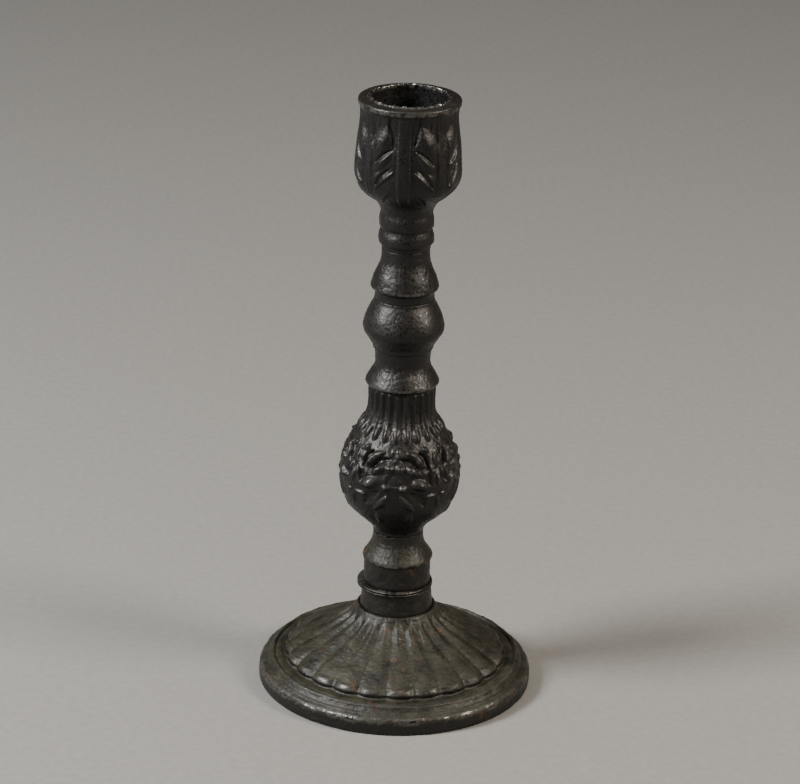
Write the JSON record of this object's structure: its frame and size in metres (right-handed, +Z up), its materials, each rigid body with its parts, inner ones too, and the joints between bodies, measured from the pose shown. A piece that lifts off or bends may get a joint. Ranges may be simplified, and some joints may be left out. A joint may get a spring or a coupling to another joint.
{
  "type": "candlestick",
  "caption": "Small altar candlestick of blackened cast iron: fluted round foot, drum and ring, ornamented baluster bulb, turned knops and a tulip candle cup, drawn together by one long bolt",
  "frame": {"origin": "on the ground, at the middle of the foot", "axes": "+Z runs up the stem to the candle cup, +X is to the right and -Y is the front"},
  "size_m": [0.083, 0.083, 0.1854],
  "materials": {
    "casting": "blackened and waxed as-cast iron, fine sand-cast grain, semi-gloss on the high edges",
    "fastener": "dull darkened mild steel with a little rust"
  },
  "bodies": {
    "root": {"foot": "casting", "foot_collar": "casting", "collar_ring": "casting", "stem_drum": "casting", "baluster_bulb": "casting", "flared_ring": "casting", "pear_knop": "casting", "upper_stem": "casting", "candle_cup": "casting", "stem_bolt": "fastener", "foot_washer": "fastener", "foot_nut": "fastener"}
  },
  "joints": []
}
